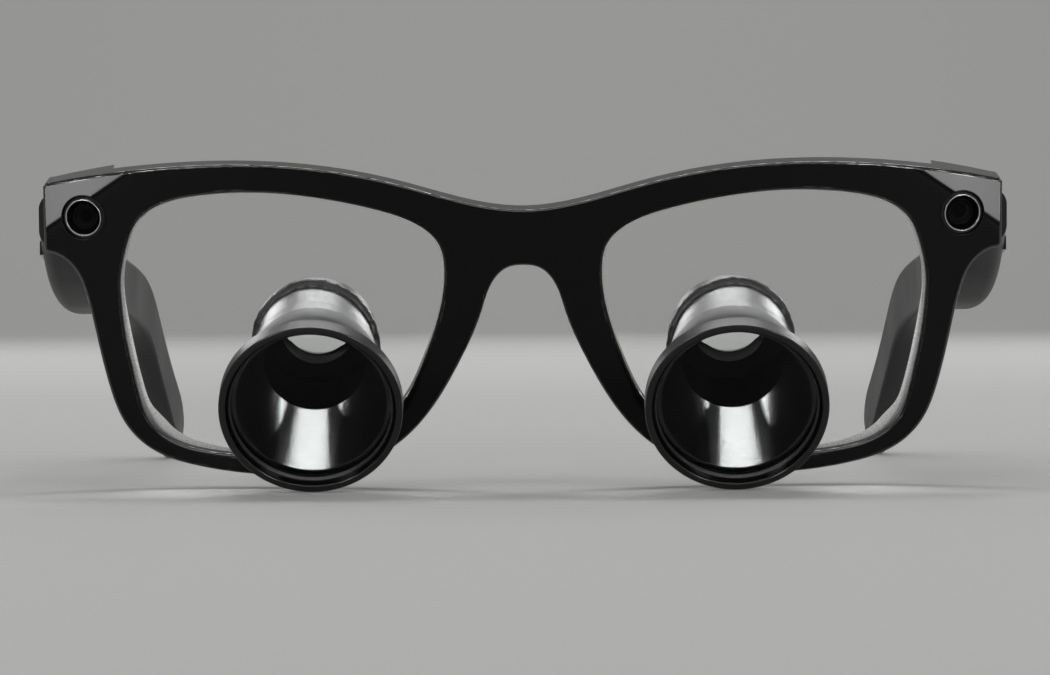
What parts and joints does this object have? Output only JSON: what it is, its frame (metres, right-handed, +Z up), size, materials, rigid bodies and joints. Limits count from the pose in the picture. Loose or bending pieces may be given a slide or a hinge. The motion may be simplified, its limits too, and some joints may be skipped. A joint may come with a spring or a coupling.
{
  "type": "binocular glasses",
  "caption": "Black spectacle frame with forward and downward looking telescopes bonded into clear lenses, cameras in the endpieces and thick folding temples.",
  "frame": {"origin": "bottom centre of the bounding box, on the surface that the hood rims and ear tips stand on", "axes": "+X to the wearer's left, -Y forward as the wearer looks, +Z up"},
  "size_m": [0.1532, 0.1646, 0.0508],
  "materials": {
    "baffle_black": "satin black",
    "cell_foil": "foil pouch",
    "adhesive_black": "cured black adhesive",
    "bezel_plastic": "polished black",
    "module_plastic": "black",
    "window_glass": "smoked glass",
    "button_plastic": "satin black",
    "lens_clear": "clear, coated",
    "contact_gold": "gold plated",
    "board_laminate": "solder mask",
    "screw_steel": "blackened steel",
    "optic_glass": "coated optical glass",
    "barrel_anodised": "black anodised",
    "frame_plastic": "polished black",
    "hinge_steel": "satin steel",
    "speaker_plastic": "black",
    "cover_plastic": "fine matt black",
    "temple_plastic": "fine matt charcoal",
    "trim_plastic": "polished black"
  },
  "bodies": {
    "front": {"baffle_tube_left": "baffle_black", "baffle_tube_right": "baffle_black", "bonding_collar_left": "adhesive_black", "bonding_collar_right": "adhesive_black", "camera_bezel_left": "bezel_plastic", "camera_bezel_right": "bezel_plastic", "camera_module_left": "module_plastic", "camera_module_right": "module_plastic", "camera_window_left": "window_glass", "camera_window_right": "window_glass", "carrier_lens_left": "lens_clear", "carrier_lens_right": "lens_clear", "eyepiece_lens_left": "optic_glass", "eyepiece_lens_right": "optic_glass", "eyepiece_ring_left": "barrel_anodised", "eyepiece_ring_right": "barrel_anodised", "front_frame": "frame_plastic", "hinge_front_left": "hinge_steel", "hinge_front_right": "hinge_steel", "hinge_screw_left": "hinge_steel", "hinge_screw_right": "hinge_steel", "objective_lens_left": "optic_glass", "objective_lens_right": "optic_glass", "objective_ring_left": "barrel_anodised", "objective_ring_right": "barrel_anodised", "telescope_barrel_left": "barrel_anodised", "telescope_barrel_right": "barrel_anodised"},
    "temple_left": {"battery_left": "cell_foil", "circuit_board_left": "board_laminate", "cover_screws_left": "screw_steel", "hinge_rear_left": "hinge_steel", "speaker_left": "speaker_plastic", "temple_cover_left": "cover_plastic", "temple_shell_left": "temple_plastic", "trim_bars_left": "trim_plastic"},
    "temple_right": {"battery_right": "cell_foil", "charging_contacts": "contact_gold", "circuit_board_right": "board_laminate", "cover_screws_right": "screw_steel", "hinge_rear_right": "hinge_steel", "speaker_right": "speaker_plastic", "temple_cover_right": "cover_plastic", "temple_shell_right": "temple_plastic", "trim_bars_right": "trim_plastic"},
    "capture_button": {"capture_button": "button_plastic"},
    "power_switch": {"power_switch": "button_plastic"}
  },
  "joints": [
    {"name": "temple_left_fold", "type": "hinge", "parent": "front", "child": "temple_left", "pos_m": [0.0668, -0.04263, 0.04075], "axis": [0, 0.1157, 0.9933], "range_deg": [0, 87]},
    {"name": "temple_right_fold", "type": "hinge", "parent": "front", "child": "temple_right", "pos_m": [-0.0668, -0.04263, 0.04075], "axis": [0, 0.1157, 0.9933], "range_deg": [-71, 0]},
    {"name": "capture_press", "type": "slide", "parent": "temple_right", "child": "capture_button", "axis": [0, -0.1157, -0.9933], "range_m": [0, 0.0005], "stiffness_N_per_m": 2000},
    {"name": "power_slide", "type": "slide", "parent": "temple_left", "child": "power_switch", "axis": [0, 0.9933, -0.1157], "range_m": [0, 0.002]}
  ]
}
